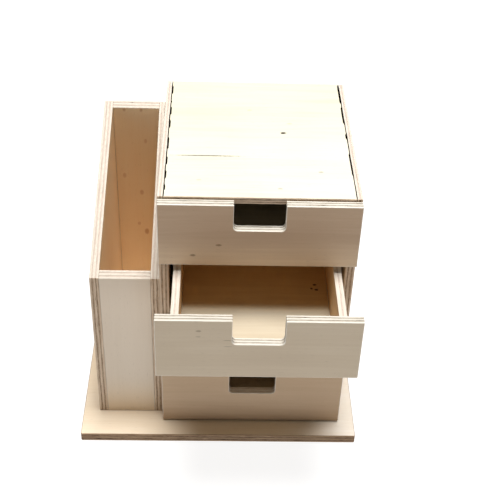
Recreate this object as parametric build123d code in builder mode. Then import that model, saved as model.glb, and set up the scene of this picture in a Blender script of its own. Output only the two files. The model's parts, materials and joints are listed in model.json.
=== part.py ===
from build123d import *
import os

# Desk organiser in raw plywood: a base board that carries a tall open bin with a sloping rim on
# the left, and a cabinet of four drawers on the right. Every board is a separate piece, glued at
# plain butt joints. The drawers have no runners: each box slides on the shelf under it, and its
# front overlaps the cabinet's front edges.
# Frame: the origin is the centre of the base board's underside, +Z is up, and the drawers face -Y.
# Drawer 1 is the top one. Drawer 2 is modelled part open.

# ---- driving dimensions, mm ----
carcass_ply = 8.0          # cabinet sides, floor and shelves, bin walls, drawer fronts
drawer_ply = 6.5           # sides, back and floor of the drawer boxes
cover_ply = 6.0            # cabinet top and back

base_width = 255.0
base_depth = 228.0
base_thickness = 9.0
base_corner_radius = 1.5
base_margin = 15.0         # bare base beside the bin, beside the cabinet and behind both

cabinet_width = 165.0
cabinet_depth = 187.0
cabinet_height = 252.0
side_lip = 4.5             # thickness of a cabinet side left standing beside the top
top_play = 0.3             # gap between the top and each side's lip

bin_width = 60.0
bin_setback = 3.5          # bin front behind the cabinet's front edges
bin_front_height = 163.0
bin_back_height = 230.0

front_pitch = 62.5         # from one drawer front to the next
front_height = 61.0
front_lift = 1.5           # lowest drawer front above the base board
front_play = 0.4           # closed front to the cabinet's front edges
notch_width = 42.0
notch_depth = 25.0
notch_radius = 3.5

box_side_play = 4.25       # drawer box to the cabinet side, each side
box_lift = 0.5             # drawer box above its shelf
box_height = 49.0          # 1 mm under the cabinet top in drawer 1
box_depth = 170.0

drawer_pulls = {1: 0.0, 2: 67.0, 3: 0.0, 4: 0.0}

# ---- derived places ----
deck = base_thickness
rear = base_depth / 2 - base_margin
cabinet_front = rear - cabinet_depth
cabinet_right = base_width / 2 - base_margin
cabinet_left = cabinet_right - cabinet_width
inner_left = cabinet_left + carcass_ply
inner_right = cabinet_right - carcass_ply
cabinet_top = deck + cabinet_height
top_underside = cabinet_top - cover_ply
back_panel_front = rear - cover_ply

bin_left = cabinet_left - bin_width
bin_front = cabinet_front + bin_setback
bin_slope = (bin_back_height - bin_front_height) / (rear - bin_front)

os.makedirs("parts", exist_ok=True)


def board(x_limits, y_limits, z_limits, corner_radius=0.0):
    """A rectangular board between two limits on each axis."""
    width = x_limits[1] - x_limits[0]
    depth = y_limits[1] - y_limits[0]
    centre = (x_limits[0] + width / 2, y_limits[0] + depth / 2)
    with BuildPart() as piece:
        with BuildSketch(Plane.XY.offset(z_limits[0])):
            with Locations(centre):
                Rectangle(width, depth)
        extrude(amount=z_limits[1] - z_limits[0])
        if corner_radius:
            fillet(piece.edges().filter_by(Axis.Z), radius=corner_radius)
    return piece


def save(piece, name):
    """Label a finished piece and write it as its own STEP file."""
    piece.part.label = name
    export_step(piece.part, f"parts/{name}.step")


def rim_height(y):
    """Height of the bin's sloping rim at a given depth."""
    return deck + bin_front_height + (y - bin_front) * bin_slope


def bin_wall(x_limits, y_limits):
    """A bin wall: a board whose top edge follows the slope of the rim."""
    with BuildPart() as piece:
        with BuildSketch(Plane.YZ.offset(x_limits[0])):
            with BuildLine():
                Polyline(
                    (y_limits[0], deck),
                    (y_limits[1], deck),
                    (y_limits[1], rim_height(y_limits[1])),
                    (y_limits[0], rim_height(y_limits[0])),
                    close=True,
                )
            make_face()
        extrude(amount=x_limits[1] - x_limits[0])
    return piece


def cabinet_side(outer_x, inward):
    """A cabinet side with a rabbet along its top inner edge that the top drops into."""
    inner_x = outer_x + inward * carcass_ply
    lip_x = outer_x + inward * side_lip
    with BuildPart() as piece:
        with BuildSketch(Plane.XZ.offset(-cabinet_front)):
            with BuildLine():
                Polyline(
                    (outer_x, deck),
                    (inner_x, deck),
                    (inner_x, top_underside),
                    (lip_x, top_underside),
                    (lip_x, cabinet_top),
                    (outer_x, cabinet_top),
                    close=True,
                )
            make_face()
        extrude(amount=-cabinet_depth)
    return piece


def drawer_front(back_y, bottom):
    """A drawer front as wide as the cabinet, with a finger notch in its top edge."""
    top = bottom + front_height
    middle = (cabinet_left + cabinet_right) / 2
    with BuildPart() as piece:
        with BuildSketch(Plane.XZ.offset(-back_y)):
            with Locations((middle, bottom + front_height / 2)):
                Rectangle(cabinet_width, front_height)
            with Locations((middle, top)):
                # Twice as high as the notch is deep, so that only its lower half cuts the front.
                RectangleRounded(notch_width, 2 * notch_depth, notch_radius, mode=Mode.SUBTRACT)
        extrude(amount=carcass_ply)
    return piece


# ---- base board ----
base_board = board(
    (-base_width / 2, base_width / 2),
    (-base_depth / 2, base_depth / 2),
    (0, base_thickness),
    base_corner_radius,
)
save(base_board, "base_board")

# ---- bin: the side walls run the whole depth, the front and back stand between them ----
bin_inner = (bin_left + carcass_ply, cabinet_left - carcass_ply)
save(bin_wall((bin_left, bin_inner[0]), (bin_front, rear)), "bin_left_wall")
save(bin_wall((bin_inner[1], cabinet_left), (bin_front, rear)), "bin_right_wall")
save(bin_wall(bin_inner, (bin_front, bin_front + carcass_ply)), "bin_front_wall")
save(bin_wall(bin_inner, (rear - carcass_ply, rear)), "bin_back_wall")

# ---- cabinet carcass ----
save(cabinet_side(cabinet_left, 1), "cabinet_left_side")
save(cabinet_side(cabinet_right, -1), "cabinet_right_side")

top_inset = side_lip + top_play
cabinet_top_board = board(
    (cabinet_left + top_inset, cabinet_right - top_inset),
    (cabinet_front, rear),
    (top_underside, cabinet_top),
)
save(cabinet_top_board, "cabinet_top")

cabinet_back = board((inner_left, inner_right), (back_panel_front, rear), (deck, top_underside))
save(cabinet_back, "cabinet_back")

# Shelf 0 is the cabinet's floor. Each higher one lies a drawer pitch above the last.
shelf_names = ["cabinet_floor", "shelf_lower", "shelf_middle", "shelf_upper"]
shelf_tops = [deck + carcass_ply + front_pitch * level for level in range(len(shelf_names))]
for shelf_name, shelf_top in zip(shelf_names, shelf_tops):
    shelf = board(
        (inner_left, inner_right),
        (cabinet_front, back_panel_front),
        (shelf_top - carcass_ply, shelf_top),
    )
    save(shelf, shelf_name)

# ---- drawers ----
box_left = inner_left + box_side_play
box_right = inner_right - box_side_play
box_inner = (box_left + drawer_ply, box_right - drawer_ply)
for number, pull in drawer_pulls.items():
    level = len(drawer_pulls) - number
    front_bottom = deck + front_lift + front_pitch * level
    box_bottom = shelf_tops[level] + box_lift
    box_top = box_bottom + box_height
    front_back_y = cabinet_front - front_play - pull
    box_rear = front_back_y + box_depth
    box_y = (front_back_y, box_rear)
    box_z = (box_bottom, box_top)
    floor_z = (box_bottom, box_bottom + drawer_ply)
    back_z = (floor_z[1], box_top)
    back_y = (box_rear - drawer_ply, box_rear)

    save(drawer_front(front_back_y, front_bottom), f"drawer_{number}_front")
    save(board((box_left, box_inner[0]), box_y, box_z), f"drawer_{number}_left_side")
    save(board((box_inner[1], box_right), box_y, box_z), f"drawer_{number}_right_side")
    save(board(box_inner, box_y, floor_z), f"drawer_{number}_floor")
    save(board(box_inner, back_y, back_z), f"drawer_{number}_back")
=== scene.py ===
"""Looks for the plywood desk organiser: a tall open bin and a cabinet of drawers on one base board.

Each CAD board is replaced by a plywood board of the same size and place, built ply by ply: the
sawn edges are slightly ragged, the cross plies sit back a little, and every arris is rounded.
Lengths are in millimetres in the CAD's frame, apart from the studio's, and are turned into metres
as each mesh is made. A board's faces and edges share one UV map, "Grain", in metres: the first
number runs along the grain, or round the board's edge, and the second across it, or through the
board's thickness.
"""
import json
import math
import zlib

import bpy
import numpy as np
from mathutils import Matrix, Vector


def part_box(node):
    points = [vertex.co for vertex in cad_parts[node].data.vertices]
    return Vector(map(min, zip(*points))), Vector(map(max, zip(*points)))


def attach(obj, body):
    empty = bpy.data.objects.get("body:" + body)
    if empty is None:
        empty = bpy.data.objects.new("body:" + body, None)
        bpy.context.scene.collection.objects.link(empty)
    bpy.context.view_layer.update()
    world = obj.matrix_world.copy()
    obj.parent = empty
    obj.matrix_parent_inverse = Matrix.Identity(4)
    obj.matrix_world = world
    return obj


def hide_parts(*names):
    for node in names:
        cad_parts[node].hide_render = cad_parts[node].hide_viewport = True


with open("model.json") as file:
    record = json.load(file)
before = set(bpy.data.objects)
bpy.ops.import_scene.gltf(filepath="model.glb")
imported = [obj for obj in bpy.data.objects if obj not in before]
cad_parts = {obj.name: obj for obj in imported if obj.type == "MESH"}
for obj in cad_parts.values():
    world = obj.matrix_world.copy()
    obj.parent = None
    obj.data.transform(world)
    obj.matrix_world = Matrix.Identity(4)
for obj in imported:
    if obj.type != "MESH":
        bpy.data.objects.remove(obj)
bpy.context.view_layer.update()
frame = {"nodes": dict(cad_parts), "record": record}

MM = 0.001
X, Y, Z = 0, 1, 2

# ---- the boards' fine geometry, mm ----
ARRIS = 0.45               # rounding where a face meets an edge
ARRIS_BEND = 0.3 * ARRIS   # depth and recess of the ring halfway round it
CORNER = 0.5               # rounding of a board's own corners
SMALL_CORNER = 1.0         # the widest corner that takes few steps
SMALL_CORNER_STEPS = 3
WIDE_CORNER_STEPS = 8
EDGE_STEP = 1.6            # spacing of points along a visible edge
HIDDEN_STEP = 6.0          # and along an edge inside the cabinet
FIVE_PLIES = (0.23, 0.14, 0.26, 0.14, 0.23)
THREE_PLIES = (0.42, 0.16, 0.42)
GLUE_STEP = 0.05           # half the depth over which one ply steps back to the next
CROSS_RECESS = 0.10        # how far the cross plies sit back
LIP_NUDGE = 0.002          # half the depth between the two outlines of a rabbeted board
SAME_PLACE = 0.01          # CAD points closer than this are level with each other
FRONT_REACH = 1.0          # what counts as the front edge of a board
WITH_GRAIN = 0.7           # an edge is cut with the grain if this share of it runs along the grain
SHARP_TURN = 40.0          # degrees: a turn above this is shaded as a sharp edge
GRAIN_SHIFT = 1.5          # metres: how far a board's place on the Grain map is moved at random
BASE_CORNER = 1.5          # rounding of the base board's corners

# ---- roughness of the sawn edges, mm. A reach is how many points the noise blends over ----
EDGE_WAVER = 0.035         # how far a whole edge sits back
EDGE_WAVER_REACH = 6
LINE_WAVER = 0.11          # how far the line between two plies wanders through the thickness
LINE_WAVER_REACH = 7
PALE_FUZZ = 0.02           # fuzz of the plies that run with the faces
CROSS_FUZZ = 0.05          # and of the cross plies
FUZZ_REACH = 1
VOID_SPACING = 45.0        # there is about one void in a cross ply for each such length of edge
VOID_REACHES = (1, 4)      # points to each side of a void: from the first, and below the second
VOID_DEPTHS = (0.15, 0.5)
DEEPEST_VOID = 0.8         # where voids overlap

# ---- the finger notch, mm ----
NOTCH_WIDTH = 42.0
NOTCH_DEPTH = 25.0
NOTCH_RADIUS = 3.5

# ---- the torn seams beside the cabinet's top, mm ----
TEAR_WAVES = 8             # sine waves that are added up to place the dashes
TEAR_RATES = (0.04, 0.34)  # the slowest and the fastest wave, radians per mm
TEAR_LEVEL = 0.95          # the higher, the less of a seam is open
TEAR_GROWTH = 1.6          # how soon a tear reaches full strength behind the front
SOUND_FRONT = 1.0          # wood left sound at a seam's front end
SOUND_BACK = 3.0           # and at its back end
SEAM_REACH = 0.05          # points this close to a torn edge's line are on it
TEAR_SHALLOWEST = 0.3      # share of a tear left at the top board's underside
LIP_CREST = 0.2            # how far down from its crest a lip is torn

# ---- camera: a long lens, high in front of the object, turned a little on its axis ----
CAMERA_PLACE = (-4.6, -754.1, 734.5)
CAMERA_YAW = 2.4           # degrees, clockwise from +Y as seen from above
CAMERA_PITCH = -38.3       # degrees above level
CAMERA_ROLL = 2.34         # degrees
CAMERA_LENS = 73.74        # mm, for a sensor 36 mm wide
CAMERA_SENSOR = 36.0

# ---- studio, in metres: one overhead light, and a floor that glows like a light table ----
LIGHT_PLACE = (0.05, 0.065, 2.7)
LIGHT_TARGET = (0.0, 0.0, 0.2)
LIGHT_WIDTH = 0.9
LIGHT_POWER = 102.0        # watts
LIGHT_COLOUR = (1.0, 0.99, 0.97)
WHITE = (1.0, 1.0, 1.0, 1.0)
WORLD_STRENGTH = 0.07
WORLD_TINT = (1.0, 0.9, 0.74, 1.0)
FLOOR_GLOW = 0.88
FLOOR_REACH = 40.0
FLOOR_DROP = 0.0002        # keeps the floor clear of the base board's underside


# =====================================================================================
# What is read from the frame
# =====================================================================================

body_of = {
    node: body for body, nodes in frame["record"]["behaviour"]["bodies"].items() for node in nodes
}


def limits(node):
    """Lowest and highest corner of a CAD board, mm."""
    low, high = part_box(node)
    return np.array(low) / MM, np.array(high) / MM


def middle_of(node, axis):
    """The middle of a CAD board on an axis, mm."""
    low, high = limits(node)
    return (low[axis] + high[axis]) / 2


def cad_points(node):
    """The corners of a CAD board's mesh, mm."""
    return np.array([vertex.co for vertex in frame["nodes"][node].data.vertices], float) / MM


def points_at(points, axis, place):
    """The points that lie at a place on an axis."""
    return points[np.isclose(points[:, axis], place, atol=SAME_PLACE)]


def rim_line():
    """Height of the bin's rim as (height at y = 0, rise per mm towards the back)."""
    low, high = limits("bin_left_wall")
    front_height = points_at(cad_points("bin_left_wall"), Y, low[Y])[:, Z].max()
    rise = (high[Z] - front_height) / (high[Y] - low[Y])
    return front_height - rise * low[Y], rise


RIM_AT_ZERO, RIM_RISE = rim_line()
TOP_UNDERSIDE = limits("cabinet_top")[0][Z]


def rim_height(y):
    """Height of the bin's sloping rim at a given depth."""
    return RIM_AT_ZERO + RIM_RISE * y


# =====================================================================================
# Outlines: lists of (u, v, corner radius), counter-clockwise
# =====================================================================================

def rectangle(low_u, high_u, low_v, high_v, radius=CORNER):
    return [
        (low_u, low_v, radius),
        (high_u, low_v, radius),
        (high_u, high_v, radius),
        (low_u, high_v, radius),
    ]


def notched(low_u, high_u, low_v, high_v):
    """A drawer front: a rectangle with the finger notch in the middle of its top edge."""
    middle = (low_u + high_u) / 2
    left = middle - NOTCH_WIDTH / 2
    right = middle + NOTCH_WIDTH / 2
    floor = high_v - NOTCH_DEPTH
    return [
        (low_u, low_v, CORNER),
        (high_u, low_v, CORNER),
        (high_u, high_v, CORNER),
        (right, high_v, CORNER),
        (right, floor, NOTCH_RADIUS),
        (left, floor, NOTCH_RADIUS),
        (left, high_v, CORNER),
        (low_u, high_v, CORNER),
    ]


def corner_arc(before, corner, after, radius):
    """Points of the arc that rounds a corner, from the run before it to the run after it."""
    start = (before - corner) / np.linalg.norm(before - corner)
    end = (after - corner) / np.linalg.norm(after - corner)
    half_angle = math.acos(np.clip(start @ end, -1, 1)) / 2
    reach = radius / math.tan(half_angle)
    middle = (start + end) / np.linalg.norm(start + end)
    centre = corner + middle * radius / math.sin(half_angle)
    first = corner + start * reach - centre
    last = corner + end * reach - centre
    turn = math.atan2(first[0] * last[1] - first[1] * last[0], first @ last)
    steps = SMALL_CORNER_STEPS if radius <= SMALL_CORNER else WIDE_CORNER_STEPS
    angles = np.linspace(0, turn, steps + 1)
    across = first[0] * np.cos(angles) - first[1] * np.sin(angles)
    up = first[0] * np.sin(angles) + first[1] * np.cos(angles)
    return centre + np.stack([across, up], 1)


def trace(corners, counts=None, step=EDGE_STEP):
    """Points round an outline, with its corners rounded and its straight runs divided evenly.
    The counts of an earlier trace make two outlines match point for point."""
    places = [np.array(corner[:2], float) for corner in corners]
    total = len(corners)
    arcs = []
    for index, corner in enumerate(corners):
        following = places[(index + 1) % total]
        arcs.append(corner_arc(places[index - 1], places[index], following, corner[2]))
    if counts is None:
        gaps = [np.linalg.norm(arcs[(i + 1) % total][0] - arcs[i][-1]) for i in range(total)]
        counts = [max(1, round(gap / step)) for gap in gaps]
    points = []
    for index, count in enumerate(counts):
        run_start = arcs[index][-1]
        run_end = arcs[(index + 1) % total][0]
        shares = np.linspace(0, 1, count + 1)[1:-1, None]
        points.append(arcs[index])
        points.append(run_start * (1 - shares) + run_end * shares)
    return np.concatenate(points), counts


def outward(points):
    """Unit normals of a counter-clockwise outline, pointing out of it."""
    along = np.roll(points, -1, 0) - np.roll(points, 1, 0)
    normals = np.stack([along[:, 1], -along[:, 0]], 1)
    return normals / np.linalg.norm(normals, axis=1, keepdims=True)


def wander(rng, count, reach):
    """Smooth noise round a closed edge, about -1 to 1. Reach is how many points it blends over."""
    window = np.hanning(2 * reach + 1)
    values = rng.normal(size=count)
    padded = np.concatenate([values[-reach:], values, values[:reach]])
    smooth = np.convolve(padded, window / np.sqrt((window ** 2).sum()), "valid")
    return smooth[:count]


def voids(rng, count, step):
    """Small gaps in a cross ply where a knot or a gap in the veneer meets the edge, in mm."""
    depth = np.zeros(count)
    for _ in range(int(count * step / VOID_SPACING) + 1):
        centre = rng.integers(count)
        reach = rng.integers(*VOID_REACHES)
        for offset in range(-reach, reach + 1):
            closeness = 1 - abs(offset) / (reach + 1)
            depth[(centre + offset) % count] += rng.uniform(*VOID_DEPTHS) * closeness
    return np.minimum(depth, DEEPEST_VOID)


# =====================================================================================
# Ply boards
# =====================================================================================

def ply_rings(thickness, shares, lip_depth=None):
    """Depth, recess and material band of each ring through a board: [(depth, recess, band)].
    The band is what lies between a ring and the next: arris, pale, dark, glue or seam. A board
    with a rabbet has two more rings at its lip's depth, for the step between its two outlines."""
    rings = [(0.0, ARRIS, "arris"), (ARRIS_BEND, ARRIS_BEND, "arris"), (ARRIS, 0.0, "pale")]
    depth = 0.0
    for index, share in enumerate(shares[:-1]):
        depth += share * thickness
        into_cross_ply = index % 2 == 0
        this_recess, next_recess = (0.0, CROSS_RECESS) if into_cross_ply else (CROSS_RECESS, 0.0)
        rings.append((depth - GLUE_STEP, this_recess, "glue"))
        rings.append((depth + GLUE_STEP, next_recess, "dark" if into_cross_ply else "pale"))
    rings.append((thickness - ARRIS, 0.0, "arris"))
    rings.append((thickness - ARRIS_BEND, ARRIS_BEND, "arris"))
    rings.append((thickness, ARRIS, None))
    if lip_depth is not None:
        place = next(index for index, ring in enumerate(rings) if ring[0] > lip_depth)
        _, recess, band = rings[place - 1]
        step = [(lip_depth - LIP_NUDGE, recess, "seam"), (lip_depth + LIP_NUDGE, recess, band)]
        rings[place:place] = step
    return rings


class Board:
    """How one board is made. outline(depth) gives its outline at a depth. tear(points, depth) gives
    further recess along its edges, slide(points, depth) moves points through its thickness, and
    paint(first, second, depth) names the slot of a piece of edge that isn't plain plywood."""

    def __init__(self, node, thickness_axis, grain_axis, outline, materials, shares=FIVE_PLIES,
                 step=EDGE_STEP, lip_depth=None, tear=None, slide=None, paint=None):
        self.node = node
        self.thickness_axis = thickness_axis
        self.grain_axis = grain_axis
        self.outline = outline
        self.materials = materials
        self.step = step
        self.tear = tear
        self.slide = slide
        self.paint = paint
        self.low, self.high = limits(node)
        thickness = self.high[thickness_axis] - self.low[thickness_axis]
        self.plane = [axis for axis in (X, Y, Z) if axis != thickness_axis]
        self.ply_ends = np.cumsum(shares) * thickness
        self.rings = ply_rings(thickness, shares, lip_depth)
        self.rng = np.random.default_rng(zlib.crc32(node.encode()))
        self.shift = self.rng.uniform(-GRAIN_SHIFT, GRAIN_SHIFT, 2)
        self.first, self.counts = trace(outline(0.0), step=step)
        self.around = len(self.first)

    def ply_noise(self, ply):
        """Roughness of one ply's sawn edge, all the way round: the cross plies are rougher."""
        fuzz = np.abs(wander(self.rng, self.around, FUZZ_REACH))
        if ply % 2 == 0:
            return fuzz * PALE_FUZZ
        return fuzz * CROSS_FUZZ + voids(self.rng, self.around, self.step)

    def points(self):
        """Every ring's points, mm, one array after another."""
        coarse = np.abs(wander(self.rng, self.around, EDGE_WAVER_REACH)) * EDGE_WAVER
        noise = [self.ply_noise(ply) for ply in range(len(self.ply_ends))]
        waver = [wander(self.rng, self.around, LINE_WAVER_REACH) * LINE_WAVER for _ in self.ply_ends]
        placed = []
        for depth, recess, _ in self.rings:
            points, _ = trace(self.outline(depth), self.counts)
            ply = min(int(np.searchsorted(self.ply_ends, depth)), len(noise) - 1)
            inset = recess + noise[ply] + coarse
            if self.tear is not None:
                inset = inset + self.tear(points, depth)
            ring = np.zeros((self.around, 3))
            ring[:, self.plane] = points - outward(points) * inset[:, None]
            ring[:, self.thickness_axis] = self.low[self.thickness_axis] + depth
            nearest = int(np.argmin(np.abs(self.ply_ends - depth)))
            at_line = abs(self.ply_ends[nearest] - depth) < 2 * GLUE_STEP
            if at_line and nearest < len(self.ply_ends) - 1:
                ring[:, self.thickness_axis] += waver[nearest]
            if self.slide is not None:
                ring[:, self.thickness_axis] += self.slide(points, depth)
            placed.append(ring)
        return np.concatenate(placed)

    def face_uv(self, place):
        """Where a point of a face lies on the Grain map."""
        first, second = self.plane
        across_axis = second if self.grain_axis == first else first
        along = place[self.grain_axis] * MM + self.shift[0]
        across = place[across_axis] * MM + self.shift[1]
        return along, across

    def at_front(self, first, second):
        """Whether a piece of edge faces the front, where edges take rougher copies with darker glue:
        partly torn grain, partly painted shade.
        """
        if Y not in self.plane:
            return False
        place = self.plane.index(Y)
        return max(first[place], second[place]) < self.low[Y] + FRONT_REACH

    def edge_slot(self, band, index, following, depth):
        """The material slot of one piece of sawn edge."""
        first = self.first[index]
        second = self.first[following]
        painted = self.paint(first, second, depth) if self.paint is not None else None
        if painted is not None:
            return painted
        if band == "seam":
            return band
        # Edges that face the front take the front set: partly rougher torn grain, partly painted shade
        # in their darker glue lines.
        cut = "rough_" if self.at_front(first, second) else ""
        if band in ("arris", "glue"):
            return cut + band
        run = np.abs(second - first)
        with_grain = run[self.plane.index(self.grain_axis)] > WITH_GRAIN * np.linalg.norm(run)
        return cut + band + ("_long" if with_grain == (band == "pale") else "_end")

    def faces(self, points):
        """All faces as (point numbers, UVs, slot, is smooth)."""
        around = self.around
        last = len(self.rings) - 1
        near = list(range(around))[::-1]
        far = [last * around + index for index in range(around)]
        made = [
            (near, [self.face_uv(points[i]) for i in near], "face", False),
            (far, [self.face_uv(points[i]) for i in far], "far_face", False),
        ]
        steps = np.linalg.norm(np.roll(self.first, -1, 0) - self.first, axis=1)
        length = np.concatenate([[0], np.cumsum(steps)]) * MM + self.shift[0]
        for ring in range(last):
            depth, _, band = self.rings[ring]
            start, end = (self.rings[i][0] * MM + self.shift[1] for i in (ring, ring + 1))
            for index in range(around):
                following = (index + 1) % around
                corners = [
                    ring * around + index,
                    ring * around + following,
                    (ring + 1) * around + following,
                    (ring + 1) * around + index,
                ]
                here = length[index]
                there = length[index + 1]
                uvs = [(here, start), (there, start), (there, end), (here, end)]
                made.append((corners, uvs, self.edge_slot(band, index, following, depth), True))
        # The plane of X and Z is left-handed, so its faces are turned to point outwards.
        if self.thickness_axis == Y:
            made = [(corners[::-1], uvs[::-1], slot, smooth) for corners, uvs, slot, smooth in made]
        return made

    def build(self):
        """Makes the piece, which takes the CAD node's place and body."""
        points = self.points()
        faces = self.faces(points)
        used = sorted({slot for _, _, slot, _ in faces})
        mesh = bpy.data.meshes.new(f"{self.node}_board")
        mesh.from_pydata([tuple(point) for point in points * MM], [], [face[0] for face in faces])
        layer = mesh.uv_layers.new(name="Grain")
        layer.data.foreach_set("uv", np.array([uv for face in faces for uv in face[1]], float).ravel())
        mesh.polygons.foreach_set("material_index", [used.index(face[2]) for face in faces])
        for slot in used:
            mesh.materials.append(self.materials[slot])
        mesh.set_sharp_from_angle(angle=math.radians(SHARP_TURN))
        mesh.polygons.foreach_set("use_smooth", [face[3] for face in faces])
        mesh.update()
        piece = bpy.data.objects.new(f"{self.node}_board", mesh)
        bpy.context.scene.collection.objects.link(piece)
        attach(piece, body_of[self.node])
        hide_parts(self.node)


# =====================================================================================
# Colours. Each set of tones is dark, middle and pale, and each glue is pale and dark
# =====================================================================================

def linear(red, green, blue):
    """A colour given in 0 to 255 display values, as the linear colour that shaders take."""
    values = [channel / 255 for channel in (red, green, blue)]
    return tuple(v / 12.92 if v <= 0.04045 else ((v + 0.055) / 1.055) ** 2.4 for v in values) + (1.0,)


def darkened(colour, share):
    return tuple(channel * share for channel in colour[:3]) + (1.0,)


SANDED_PALE = (linear(188, 181, 169), linear(212, 207, 196), linear(224, 220, 212))
SANDED_DARK = (linear(126, 114, 99), linear(166, 155, 140), linear(194, 184, 170))
SANDED_GLUE = (linear(150, 138, 122), linear(112, 100, 86))
# Near white: a painted highlight, the light caught along the rounded arrises of the sanded edges.
SANDED_ARRIS_HIGHLIGHT = (linear(222, 212, 196), linear(242, 236, 225), linear(250, 246, 238))
WORN_PALE = (linear(196, 184, 170), linear(217, 207, 194), linear(228, 221, 210))
WORN_DARK = (linear(172, 153, 139), linear(202, 186, 173), linear(217, 204, 193))
WORN_GLUE = (linear(184, 169, 153), linear(152, 136, 120))
# The front set: more torn spots and darker glue lines than the other sets, partly rough grain, partly
# painted shade on the edges that face the front. Its glue is also used for the base board's edges.
SHADED_ROUGH_PALE = (linear(160, 136, 114), linear(214, 192, 168), linear(236, 219, 199))
SHADED_ROUGH_DARK = (linear(108, 82, 62), linear(172, 147, 122), linear(208, 184, 160))
SHADED_ROUGH_GLUE = (linear(116, 92, 72), linear(66, 48, 36))
BASE_PALE = (linear(112, 88, 66), linear(164, 136, 108), linear(196, 168, 138))
BASE_DARK = (linear(96, 74, 56), linear(142, 116, 92), linear(172, 146, 120))
# Near black: painted shade on the walls of the torn seams and on the rabbet floor under them.
SEAM_SHADE = (linear(36, 27, 20), linear(14, 10, 8))

CREAM = (linear(208, 200, 176), linear(224, 220, 203), linear(234, 231, 218))
SIDE_CREAM = (linear(212, 198, 176), linear(226, 213, 194), linear(236, 226, 210))
PEACH = (linear(222, 200, 172), linear(236, 218, 193), linear(245, 232, 214))
TAN = (linear(178, 150, 125), linear(192, 166, 140), linear(207, 184, 158))
GREY_TAN = (linear(196, 178, 154), linear(209, 192, 168), linear(220, 206, 184))
DULL_TAN = (linear(182, 155, 127), linear(195, 168, 138), linear(208, 182, 154))
BIN_OUTER = (linear(214, 198, 178), linear(226, 211, 192), linear(236, 223, 206))
BIN_INNER = (linear(234, 197, 153), linear(248, 220, 181), linear(252, 232, 201))
HONEY = (linear(208, 170, 124), linear(222, 188, 144), linear(232, 206, 166))
DEEP_HONEY = (linear(232, 178, 112), linear(246, 200, 136), linear(250, 216, 162))
BOX_FLOOR = (linear(180, 164, 139), linear(196, 183, 160), linear(208, 199, 179))

PIN_KNOT = linear(40, 22, 12)
SOFT_KNOT = linear(172, 90, 36)
DULL_KNOT = linear(88, 62, 30)


# =====================================================================================
# Materials
# =====================================================================================

class Shader:
    """A material's node tree, with short calls for the nodes that the wood is made of."""

    def __init__(self, name):
        self.material = bpy.data.materials.new(name)
        self.material.use_nodes = True
        self.tree = self.material.node_tree
        self.surface = self.tree.nodes["Principled BSDF"]

    def feed(self, node, inputs):
        """Sets a node's inputs: a socket is linked, and anything else is the input's own value."""
        for key, value in inputs.items():
            if isinstance(value, bpy.types.NodeSocket):
                self.tree.links.new(value, node.inputs[key])
            else:
                node.inputs[key].default_value = value

    def add(self, kind, inputs, **settings):
        node = self.tree.nodes.new(kind)
        for key, value in settings.items():
            setattr(node, key, value)
        self.feed(node, inputs)
        return node

    def maths(self, operation, first, second=0.0, third=0.0):
        """One maths node. The name of the operation is Blender's."""
        inputs = {0: first, 1: second, 2: third}
        return self.add("ShaderNodeMath", inputs, operation=operation).outputs[0]

    def vector_maths(self, operation, first, second):
        """One maths node that works on three numbers at once."""
        inputs = {0: first, 1: second}
        return self.add("ShaderNodeVectorMath", inputs, operation=operation).outputs[0]

    def centred(self, noise, strength, base):
        """Noise about its middle, times a strength, added to a base."""
        return self.maths("MULTIPLY_ADD", self.maths("SUBTRACT", noise, 0.5), strength, base)

    def stretch(self, vector, along, across, seed=0.0):
        """Coordinates scaled to cycles per metre along and across the grain. The seed goes into
        the third number."""
        scaled = self.vector_maths("MULTIPLY", vector, (along, across, 1.0))
        return self.vector_maths("ADD", scaled, (0.0, 0.0, seed))

    def noise(self, vector, detail=2.0, roughness=0.5):
        inputs = {"Vector": vector, "Scale": 1.0, "Detail": detail, "Roughness": roughness}
        return self.add("ShaderNodeTexNoise", inputs).outputs[0]

    def ramp(self, factor, stops):
        """A colour ramp. Each stop is (place, colour)."""
        node = self.add("ShaderNodeValToRGB", {0: factor})
        elements = node.color_ramp.elements
        while len(elements) < len(stops):
            elements.new(0.5)
        for element, (place, colour) in zip(elements, stops):
            element.position = place
            element.color = colour
        return node.outputs[0]

    def between(self, factor, low, high):
        """0 up to low, 1 from high on, and smooth between them. low may be the larger number."""
        inputs = {0: factor, 1: low, 2: high}
        return self.add("ShaderNodeMapRange", inputs, interpolation_type="SMOOTHSTEP").outputs[0]

    def blend(self, factor, first, second):
        inputs = {0: factor, 6: first, 7: second}
        return self.add("ShaderNodeMix", inputs, data_type="RGBA").outputs[2]

    def bump(self, height, strength, distance):
        inputs = {"Strength": strength, "Distance": distance, "Height": height}
        return self.add("ShaderNodeBump", inputs).outputs[0]

    def object_place(self):
        """The point's place in the CAD's frame, in metres."""
        return self.add("ShaderNodeTexCoord", {}).outputs["Object"]

    def parts(self, vector):
        """A vector's three numbers."""
        return self.add("ShaderNodeSeparateXYZ", {0: vector}).outputs

    def grain_map(self):
        """The point's place on the Grain map, in metres."""
        return self.add("ShaderNodeUVMap", {}, uv_map="Grain").outputs[0]


def wavering_grain(shader):
    """The Grain map, wavering gently across the grain as wood does."""
    grain = shader.grain_map()
    waver = shader.noise(shader.stretch(grain, 5.0, 22.0, 3.0), detail=2.0)
    offset = shader.maths("MULTIPLY_ADD", waver, 0.008, -0.004)
    shift = shader.add("ShaderNodeCombineXYZ", {1: offset}).outputs[0]
    return shader.vector_maths("ADD", grain, shift)


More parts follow.
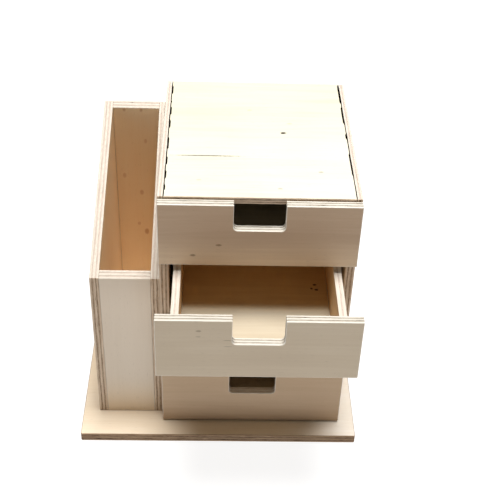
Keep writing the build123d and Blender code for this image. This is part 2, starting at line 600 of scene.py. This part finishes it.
def mark_masks(shader, marks, axes, side):
    """A mask for each mark on a board: a knot, a fleck, a scratch or a crack.
    A mark is (along, across, half length, half width, strength), mm, in the CAD's frame. axes are
    the frame's axes along the grain, across it and through the board, and side is (place, sign):
    a mark shows only on the face on that side of the place."""
    place = shader.object_place()
    parts = shader.parts(place)
    uneven = shader.noise(shader.stretch(place, 420.0, 420.0, 0.0), detail=2.0)
    along, across, through = (parts[axis] for axis in axes)
    compare = "GREATER_THAN" if side[1] > 0 else "LESS_THAN"
    on_face = shader.maths(compare, through, side[0] * MM)
    masks = []
    for mark_along, mark_across, half_length, half_width, strength in marks:
        first = shader.maths("SUBTRACT", along, mark_along * MM)
        second = shader.maths("SUBTRACT", across, mark_across * MM)
        first = shader.maths("DIVIDE", first, half_length * MM)
        second = shader.maths("DIVIDE", second, half_width * MM)
        squares = shader.maths("MULTIPLY_ADD", first, first, shader.maths("MULTIPLY", second, second))
        smooth_distance = shader.maths("SUBTRACT", shader.maths("SQRT", squares), 0.45)
        distance = shader.maths("MULTIPLY_ADD", uneven, 0.9, smooth_distance)
        inside = shader.maths("SUBTRACT", 1.0, shader.between(distance, 0.45, 1.15))
        masks.append(shader.maths("MULTIPLY", shader.maths("MULTIPLY", inside, strength), on_face))
    return masks


def drifted(shader, colour, axis, start, end, gains):
    """A colour multiplied by gains that set in between two places on an axis, mm."""
    along = shader.parts(shader.object_place())[axis]
    reached = shader.between(along, start * MM, end * MM)
    return shader.vector_maths("MULTIPLY", colour, shader.blend(reached, WHITE, gains + (1.0,)))


def face_wood(name, tones, figure=0.3, fibres=0.2, blotch=0.3, flecks=0.25, marks=(), axes=(X, Y, Z),
              side=(0, 1), mark_colour=PIN_KNOT, drift=None):
    """A rotary-cut face veneer. figure, fibres, blotch and flecks are the strengths of its broad
    pattern, its fibres, its patches and its open pores. drift is (axis, from, to, gains), mm in the
    CAD's frame: what the colour is multiplied by from there on, which on most boards is painted
    light and shade."""
    shader = Shader(name)
    grain = wavering_grain(shader)
    broad = shader.noise(shader.stretch(grain, 2.6, 34.0, 1.0), detail=3.0, roughness=0.55)
    contours = shader.maths("SINE", shader.maths("MULTIPLY", broad, 46.0))
    fibre = shader.noise(shader.stretch(grain, 34.0, 1500.0, 5.0), detail=3.0, roughness=0.6)
    threads = shader.noise(shader.stretch(grain, 9.0, 420.0, 7.0), detail=2.0)
    patches = shader.noise(shader.stretch(grain, 9.0, 16.0, 9.0), detail=2.0)
    pores = shader.noise(shader.stretch(grain, 160.0, 1300.0, 11.0), detail=1.0)
    fleck = shader.between(pores, 0.66, 0.78)

    tone = shader.maths("MULTIPLY_ADD", broad, figure, 0.5 - figure / 2)
    tone = shader.maths("MULTIPLY_ADD", contours, figure * 0.09, tone)
    tone = shader.centred(fibre, fibres, tone)
    tone = shader.centred(threads, fibres * 0.8, tone)
    tone = shader.centred(patches, blotch, tone)
    colour = shader.ramp(tone, [(0.22, tones[0]), (0.5, tones[1]), (0.78, tones[2])])
    # On most boards the drift is painted light and shade.
    if drift:
        colour = drifted(shader, colour, *drift)
    colour = shader.blend(shader.maths("MULTIPLY", fleck, flecks), colour, darkened(tones[0], 0.55))
    dent = shader.maths("MULTIPLY", fleck, -0.6)
    if marks:
        for mask in mark_masks(shader, marks, axes, side):
            colour = shader.blend(mask, colour, mark_colour)
            dent = shader.maths("MULTIPLY_ADD", mask, -1.0, dent)
    height = shader.maths("MULTIPLY_ADD", fibre, 0.7, dent)
    height = shader.maths("MULTIPLY_ADD", contours, 0.12, height)
    shader.feed(shader.surface, {
        "Base Color": colour,
        "Roughness": shader.maths("MULTIPLY_ADD", fibre, 0.22, 0.5),
        "Normal": shader.bump(height, 0.32, 0.00025),
        "Specular IOR Level": 0.3,
    })
    return shader.material


def edge_wood(name, tones, end_grain, torn_share):
    """A ply seen at a sawn edge: streaks where it is cut along the grain, speckle where across.
    torn_share, 0 to 1, is how dark the torn spots are."""
    shader = Shader(name)
    grain = shader.grain_map()
    if end_grain:
        fine = shader.noise(shader.stretch(grain, 2600.0, 2600.0, 2.0), detail=2.0, roughness=0.65)
        coarse = shader.noise(shader.stretch(grain, 240.0, 700.0, 4.0), detail=3.0, roughness=0.6)
    else:
        fine = shader.noise(shader.stretch(grain, 110.0, 3200.0, 2.0), detail=2.0, roughness=0.6)
        coarse = shader.noise(shader.stretch(grain, 42.0, 900.0, 4.0), detail=3.0, roughness=0.6)
    torn = shader.noise(shader.stretch(grain, 95.0, 520.0, 6.0), detail=3.0, roughness=0.7)
    tear = shader.between(torn, 0.6, 0.74)

    tone = shader.centred(coarse, 0.9, shader.centred(fine, 0.6, 0.5))
    colour = shader.ramp(tone, [(0.2, tones[0]), (0.5, tones[1]), (0.8, tones[2])])
    torn_mask = shader.maths("MULTIPLY", tear, torn_share)
    height = shader.maths("MULTIPLY_ADD", tear, -1.2, fine)
    shader.feed(shader.surface, {
        "Base Color": shader.blend(torn_mask, colour, darkened(tones[0], 0.45)),
        "Roughness": 0.8,
        "Normal": shader.bump(height, 0.5, 0.0003),
        "Specular IOR Level": 0.2,
    })
    return shader.material


def dull_wood(name, pale, dark):
    """Glue lines, and the painted shade on the walls of a sawn seam: dark, matt and mottled."""
    shader = Shader(name)
    mottle = shader.noise(shader.stretch(shader.grain_map(), 300.0, 500.0, 1.0), detail=3.0)
    shader.feed(shader.surface, {
        "Base Color": shader.ramp(mottle, [(0.35, dark), (0.65, pale)]),
        "Roughness": 0.9,
        "Specular IOR Level": 0.1,
    })
    return shader.material


def edge_set(prefix, pale, dark, glue, arris, torn_share):
    """The materials of a board's sawn edges, their glue lines and arrises. glue is (pale, dark)."""
    return {
        "pale_long": edge_wood(f"{prefix}_pale_long", pale, False, torn_share),
        "pale_end": edge_wood(f"{prefix}_pale_end", pale, True, torn_share),
        "dark_long": edge_wood(f"{prefix}_dark_long", dark, False, torn_share),
        "dark_end": edge_wood(f"{prefix}_dark_end", dark, True, torn_share),
        "glue": dull_wood(f"{prefix}_glue", *glue),
        "arris": edge_wood(f"{prefix}_arris", arris, False, 0.2 * torn_share),
    }


# The front set paints shade onto the edges that face the front, as darker, rougher copies.
def with_front(edge_materials, front_materials):
    """Edge materials, and those of the edges that face the front under their rough_ names."""
    front = {f"rough_{band}": material for band, material in front_materials.items()}
    return {**edge_materials, **front}


def with_face(edge_materials, face, far_face=None):
    """The named materials of one board. The far face is the one at the high end of its thickness."""
    return dict(edge_materials, face=face, far_face=far_face or face, seam=seam_wall)


# The front set, for the edges that face the front: partly rough torn grain, partly painted shade.
shaded_rough_edges = edge_set("rough", SHADED_ROUGH_PALE, SHADED_ROUGH_DARK, SHADED_ROUGH_GLUE, SHADED_ROUGH_PALE, 0.8)
sanded_edges = edge_set("sanded", SANDED_PALE, SANDED_DARK, SANDED_GLUE, SANDED_ARRIS_HIGHLIGHT, 0.3)
sanded_edges = with_front(sanded_edges, shaded_rough_edges)
worn_edges = edge_set("worn", WORN_PALE, WORN_DARK, WORN_GLUE, WORN_PALE, 0.3)
worn_edges = with_front(worn_edges, shaded_rough_edges)
base_edges = edge_set("base", BASE_PALE, BASE_DARK, SHADED_ROUGH_GLUE, BASE_PALE, 0.6)
base_edges = with_front(base_edges, base_edges)
# The seams' walls are painted near black: painted shade.
seam_wall = dull_wood("seam_wall", *SEAM_SHADE)
box_face = face_wood("drawer_box_face", HONEY)


# =====================================================================================
# Marks and looks of single boards. mark_masks says what a mark's numbers are
# =====================================================================================

BIN_MARKS = [
    (199.0, -74.5, 2.8, 1.8, 0.3),
    (158.8, -96.6, 3.4, 2.2, 0.3),
    (138.5, -80.2, 3.4, 2.2, 0.35),
    (89.3, -76.6, 4.0, 2.4, 0.5),
    (99.5, -84.0, 2.6, 1.8, 0.3),
    (233.6, -94.0, 2.2, 1.6, 0.4),
    (233.5, -78.0, 2.2, 1.6, 0.4),
]

TOP_MARKS = [
    (52.5, 10.2, 2.7, 1.9, 1.0),
    (23.4, 48.2, 2.4, 1.6, 0.2),
    (58.5, 26.2, 2.8, 1.5, 0.2),
    (-20.0, -63.7, 2.6, 1.4, 0.2),
    (81.1, -49.7, 2.4, 1.5, 0.35),
    (46.5, -74.6, 2.4, 1.4, 0.3),
    (-13.0, -27.8, 33.0, 0.75, 0.85),
]

FRONT_1_MARKS = [
    (-2.9, 219.1, 3.2, 1.2, 0.6),
    (-24.1, 208.3, 3.0, 1.3, 0.55),
]

FRONT_2_MARKS = [
    (-17.7, 185.7, 3.0, 1.1, 0.4),
    (-18.0, 179.8, 2.6, 0.9, 0.22),
    (5.7, 175.9, 4.5, 0.4, 0.45),
    (5.8, 169.3, 4.0, 0.4, 0.4),
]

FLOOR_2_MARKS = [
    (82.9, -61.8, 1.9, 1.4, 0.9),
    (79.9, -67.0, 1.4, 1.2, 0.85),
    (84.1, -68.6, 1.9, 1.4, 0.9),
]

# What face_wood is told of each drawer front and of each drawer floor that isn't plain.
FRONT_LOOKS = {
    # Front 1 is painted up to about 1.6 times lighter towards its bottom: painted light, the bounce
    # from the open drawer below it.
    1: {"tones": TAN, "marks": FRONT_1_MARKS, "drift": (Z, 232, 198, (1.5, 1.62, 1.66))},
    2: {"tones": GREY_TAN, "marks": FRONT_2_MARKS},
    3: {"tones": DULL_TAN},
    # Front 4 is painted darker towards its bottom: painted shade beside the shaded base board.
    4: {"tones": DULL_TAN, "drift": (Z, 45, 10, (0.92, 0.88, 0.84))},
}
FRONT_EDGES = {1: sanded_edges, 2: sanded_edges, 3: worn_edges, 4: worn_edges}
FLOOR_LOOKS = {
    # The back of drawer 2's floor is painted lighter and warmer: painted bounce light in the shade
    # under drawer 1.
    2: {"marks": FLOOR_2_MARKS, "drift": (Y, -102, -84, (1.44, 1.28, 1.0))},
}


# =====================================================================================
# Base board and bin
# =====================================================================================

def plain_board(node, thickness_axis, grain_axis, materials, radius=CORNER, **how):
    """A rectangular board."""
    low, high = limits(node)
    first, second = [axis for axis in (X, Y, Z) if axis != thickness_axis]
    corners = rectangle(low[first], high[first], low[second], high[second], radius)
    Board(node, thickness_axis, grain_axis, lambda depth: corners, materials, **how).build()


def make_base():
    # The base's face is painted brighter and paler towards the right: painted light, where more light
    # falls.
    drift = (X, 40, 120, (1.07, 1.16, 1.33))
    face = face_wood("base_face", PEACH, figure=0.2, drift=drift)
    plain_board("base_board", Z, X, with_face(base_edges, face), radius=BASE_CORNER)


def bin_side(node, materials):
    """A bin wall that runs the whole depth: its top edge slopes."""
    low, high = limits(node)
    corners = [
        (low[Y], low[Z], CORNER),
        (high[Y], low[Z], CORNER),
        (high[Y], high[Z], CORNER),
        (low[Y], rim_height(low[Y]), CORNER),
    ]
    Board(node, X, Z, lambda depth: corners, materials).build()


def bin_end(node, materials):
    """A bin wall between the two sides: its top edge is bevelled to their slope."""
    low, high = limits(node)

    def outline(depth):
        return rectangle(low[X], high[X], low[Z], rim_height(low[Y] + depth))

    Board(node, Y, Z, outline, materials).build()


def make_bin():
    outer = face_wood("bin_face", BIN_OUTER, figure=0.12, fibres=0.12,
                      drift=(Z, 60, 12, (1.03, 0.96, 0.85)))
    # The marks are placed for the back wall. The front wall's inside shows the lower ones too.
    inner = face_wood("bin_inner_face", BIN_INNER, figure=0.15, fibres=0.12, blotch=0.35,
                      marks=BIN_MARKS, axes=(Z, X, Y), mark_colour=SOFT_KNOT,
                      side=(middle_of("bin_back_wall", Y), -1))
    outer_first = with_face(worn_edges, outer, inner)
    inner_first = with_face(worn_edges, inner, outer)
    bin_side("bin_left_wall", outer_first)
    bin_side("bin_right_wall", inner_first)
    bin_end("bin_front_wall", outer_first)
    bin_end("bin_back_wall", inner_first)


# =====================================================================================
# Cabinet
# =====================================================================================

class Tear:
    """A torn edge: how far the wood is set back along the cabinet's depth, in dashes. least and
    most are the set-back where the seam is closed and open, swing is how sharply it changes, ends
    are the front and back of the board, and fade is the share of the tear left at the front."""

    def __init__(self, seed, least, swing, most, ends, fade):
        rng = np.random.default_rng(seed)
        self.waves = [
            (rng.uniform(*TEAR_RATES), rng.uniform(0, 2 * math.pi)) for _ in range(TEAR_WAVES)
        ]
        self.least = least
        self.swing = swing
        self.most = most
        self.ends = ends
        self.fade = fade

    def __call__(self, along):
        front, back = self.ends
        total = sum(np.sin(rate * along + phase) for rate, phase in self.waves)
        total = total / math.sqrt(len(self.waves))
        share = np.clip((along - front) / (back - front), 0, 1)
        strength = self.fade + (1 - self.fade) * np.clip(TEAR_GROWTH * share, 0, 1)
        opened = np.clip(0.5 + self.swing * (total + strength - TEAR_LEVEL), 0, 1)
        width = (self.least + (self.most - self.least) * opened) * strength
        return np.where((along > front + SOUND_FRONT) & (along < back - SOUND_BACK), width, 0.0)


def cabinet_side(node, lip_is_low, tear_seed, materials):
    """A cabinet side with a rabbet along its top inner edge, beside a lip that is torn in places.
    lip_is_low says whether the lip is at the low end of the board's thickness."""
    low, high = limits(node)
    crest = points_at(cad_points(node), Z, high[Z])[:, X]
    lip_depth = (crest.max() if lip_is_low else crest.min()) - low[X]
    full = rectangle(low[Y], high[Y], low[Z], high[Z])
    cut = rectangle(low[Y], high[Y], low[Z], TOP_UNDERSIDE)
    top_at_low_face = high[Z] if lip_is_low else TOP_UNDERSIDE
    into_lip = -1 if lip_is_low else 1
    tear = Tear(tear_seed, 0.02, 0.8, 0.25, (low[Y], high[Y]), 0.5)

    def in_lip(depth):
        return depth < lip_depth if lip_is_low else depth > lip_depth

    def outline(depth):
        return full if in_lip(depth) else cut

    def slide(points, depth):
        at_lip_edge = in_lip(depth) & (abs(depth - lip_depth) < 2 * LIP_NUDGE)
        torn = (points[:, 1] > high[Z] - LIP_CREST) & at_lip_edge
        return np.where(torn, tear(points[:, 0]) * into_lip, 0.0)

    def paint(first, second, depth):
        # The rabbet's floor under the seam takes the seam's painted shade.
        at_top = min(first[1], second[1]) > top_at_low_face - CORNER
        return "seam" if at_top and not in_lip(depth) else None

    Board(node, X, Z, outline, materials, lip_depth=lip_depth, slide=slide, paint=paint).build()


def make_cabinet_sides():
    materials = with_face(worn_edges, face_wood("cabinet_side_face", SIDE_CREAM, figure=0.2))
    cabinet_side("cabinet_left_side", True, 11, materials)
    cabinet_side("cabinet_right_side", False, 12, materials)


def make_cabinet_top():
    """The top drops between the two lips. Its own edges are torn more than theirs."""
    # The top is painted yellower towards the back: partly the veneer's tone, partly painted shade where
    # the light falls off.
    face = face_wood("cabinet_top_face", CREAM, marks=TOP_MARKS, drift=(Y, -70, 60, (1.0, 0.99, 0.91)),
                     side=(middle_of("cabinet_top", Z), 1))
    low, high = limits("cabinet_top")
    corners = rectangle(low[X], high[X], low[Y], high[Y])
    ends = (low[Y], high[Y])
    tears = {
        low[X]: Tear(24, 0.0, 5.0, 0.8, ends, 0.9),
        high[X]: Tear(22, 0.0, 5.0, 0.9, ends, 0.5),
    }

    def on_seam(across, place):
        return np.abs(across - place) < SEAM_REACH

    def tear(points, depth):
        share = np.clip(depth / (high[Z] - low[Z]), TEAR_SHALLOWEST, 1.0)
        return sum(
            np.where(on_seam(points[:, 0], place), edge(points[:, 1]), 0.0) * share
            for place, edge in tears.items()
        )

    def paint(first, second, depth):
        # The walls of the torn edges take the seam's painted shade.
        at_seam = any(on_seam(first[0], place) and on_seam(second[0], place) for place in tears)
        return "seam" if at_seam else None

    materials = with_face(worn_edges, face)
    Board("cabinet_top", Z, X, lambda depth: corners, materials, tear=tear, paint=paint).build()


def make_cabinet_inside():
    inner = face_wood("cabinet_inner_face", DEEP_HONEY)
    outer = face_wood("cabinet_back_face", BIN_OUTER, figure=0.2)
    plain_board("cabinet_back", Y, Z, with_face(sanded_edges, inner, outer))
    for node in ("cabinet_floor", "shelf_lower", "shelf_middle", "shelf_upper"):
        plain_board(node, Z, X, with_face(sanded_edges, inner), step=HIDDEN_STEP)


# =====================================================================================
# Drawers
# =====================================================================================

def make_drawer_front(number):
    """The veneer and its marks are on the outside. The inside matches the drawer's box."""
    node = f"drawer_{number}_front"
    low, high = limits(node)
    face = face_wood(f"front_{number}_face", axes=(X, Z, Y), side=(middle_of(node, Y), -1),
                     mark_colour=DULL_KNOT, **FRONT_LOOKS[number])
    corners = notched(low[X], high[X], low[Z], high[Z])
    materials = with_face(FRONT_EDGES[number], face, box_face)
    Board(node, Y, X, lambda depth: corners, materials).build()


def make_drawer_floor(number):
    node = f"drawer_{number}_floor"
    looks = FLOOR_LOOKS.get(number, {})
    face = face_wood(f"drawer_{number}_floor_face", BOX_FLOOR, side=(middle_of(node, Z), 1), **looks)
    plain_board(node, Z, X, with_face(sanded_edges, face), step=HIDDEN_STEP, shares=THREE_PLIES)


def make_drawer(number):
    make_drawer_front(number)
    make_drawer_floor(number)
    materials = with_face(worn_edges, box_face)
    plain_board(f"drawer_{number}_left_side", X, Y, materials, shares=THREE_PLIES)
    plain_board(f"drawer_{number}_right_side", X, Y, materials, shares=THREE_PLIES)
    plain_board(f"drawer_{number}_back", Y, X, materials, step=HIDDEN_STEP, shares=THREE_PLIES)


# =====================================================================================
# Studio
# =====================================================================================

def make_camera():
    yaw = math.radians(CAMERA_YAW)
    pitch = math.radians(CAMERA_PITCH)
    roll = math.radians(CAMERA_ROLL)
    forward = Vector((
        math.sin(yaw) * math.cos(pitch),
        math.cos(yaw) * math.cos(pitch),
        math.sin(pitch),
    ))
    level = Vector((math.cos(yaw), -math.sin(yaw), 0))
    upright = level.cross(forward)
    right = math.cos(roll) * level + math.sin(roll) * upright
    up = math.cos(roll) * upright - math.sin(roll) * level
    turned = Matrix((right, up, -forward)).transposed().to_4x4()
    data = bpy.data.cameras.new("camera")
    data.sensor_width = CAMERA_SENSOR
    data.lens = CAMERA_LENS
    data.clip_start = 0.05
    data.clip_end = 30.0
    camera = bpy.data.objects.new("camera", data)
    camera.matrix_world = Matrix.Translation(Vector(CAMERA_PLACE) * MM) @ turned
    bpy.context.scene.collection.objects.link(camera)
    bpy.context.scene.camera = camera


def make_light():
    """One square light overhead, turned to face the object."""
    data = bpy.data.lights.new("overhead", "AREA")
    data.shape = "SQUARE"
    data.size = LIGHT_WIDTH
    data.energy = LIGHT_POWER
    data.color = LIGHT_COLOUR
    light = bpy.data.objects.new("overhead", data)
    light.location = LIGHT_PLACE
    to_target = Vector(LIGHT_TARGET) - Vector(LIGHT_PLACE)
    light.rotation_euler = to_target.to_track_quat("-Z", "Y").to_euler()
    bpy.context.scene.collection.objects.link(light)


def make_world():
    """A weak warm fill all round. Looked at directly, it is a white backdrop past the floor's end."""
    world = bpy.data.worlds.new("studio")
    world.use_nodes = True
    tree = world.node_tree
    fill = tree.nodes["Background"]
    fill.inputs["Color"].default_value = WORLD_TINT
    fill.inputs["Strength"].default_value = WORLD_STRENGTH
    backdrop = tree.nodes.new("ShaderNodeBackground")
    backdrop.inputs["Color"].default_value = WHITE
    rays = tree.nodes.new("ShaderNodeLightPath")
    chosen = tree.nodes.new("ShaderNodeMixShader")
    tree.links.new(rays.outputs["Is Camera Ray"], chosen.inputs[0])
    tree.links.new(fill.outputs[0], chosen.inputs[1])
    tree.links.new(backdrop.outputs[0], chosen.inputs[2])
    tree.links.new(chosen.outputs[0], tree.nodes["World Output"].inputs["Surface"])
    bpy.context.scene.world = world


def make_floor():
    shader = Shader("studio_floor")
    mottle = shader.noise(shader.object_place(), detail=2.0)
    shader.feed(shader.surface, {
        "Base Color": shader.ramp(mottle, [(0.3, linear(134, 134, 134)), (0.7, linear(140, 140, 140))]),
        "Roughness": 0.9,
        "Emission Color": WHITE,
        "Emission Strength": FLOOR_GLOW,
    })
    mesh = bpy.data.meshes.new("studio_floor")
    corners = [
        (-FLOOR_REACH, -FLOOR_REACH, 0),
        (FLOOR_REACH, -FLOOR_REACH, 0),
        (FLOOR_REACH, FLOOR_REACH, 0),
        (-FLOOR_REACH, FLOOR_REACH, 0),
    ]
    mesh.from_pydata(corners, [], [(0, 1, 2, 3)])
    mesh.materials.append(shader.material)
    floor = bpy.data.objects.new("studio_floor", mesh)
    floor.location.z = -FLOOR_DROP
    bpy.context.scene.collection.objects.link(floor)


def make_studio():
    bpy.context.scene.view_settings.view_transform = "Standard"
    make_world()
    make_light()
    make_floor()


make_base()
make_bin()
make_cabinet_sides()
make_cabinet_top()
make_cabinet_inside()
for drawer_number in FRONT_LOOKS:
    make_drawer(drawer_number)
make_camera()
make_studio()
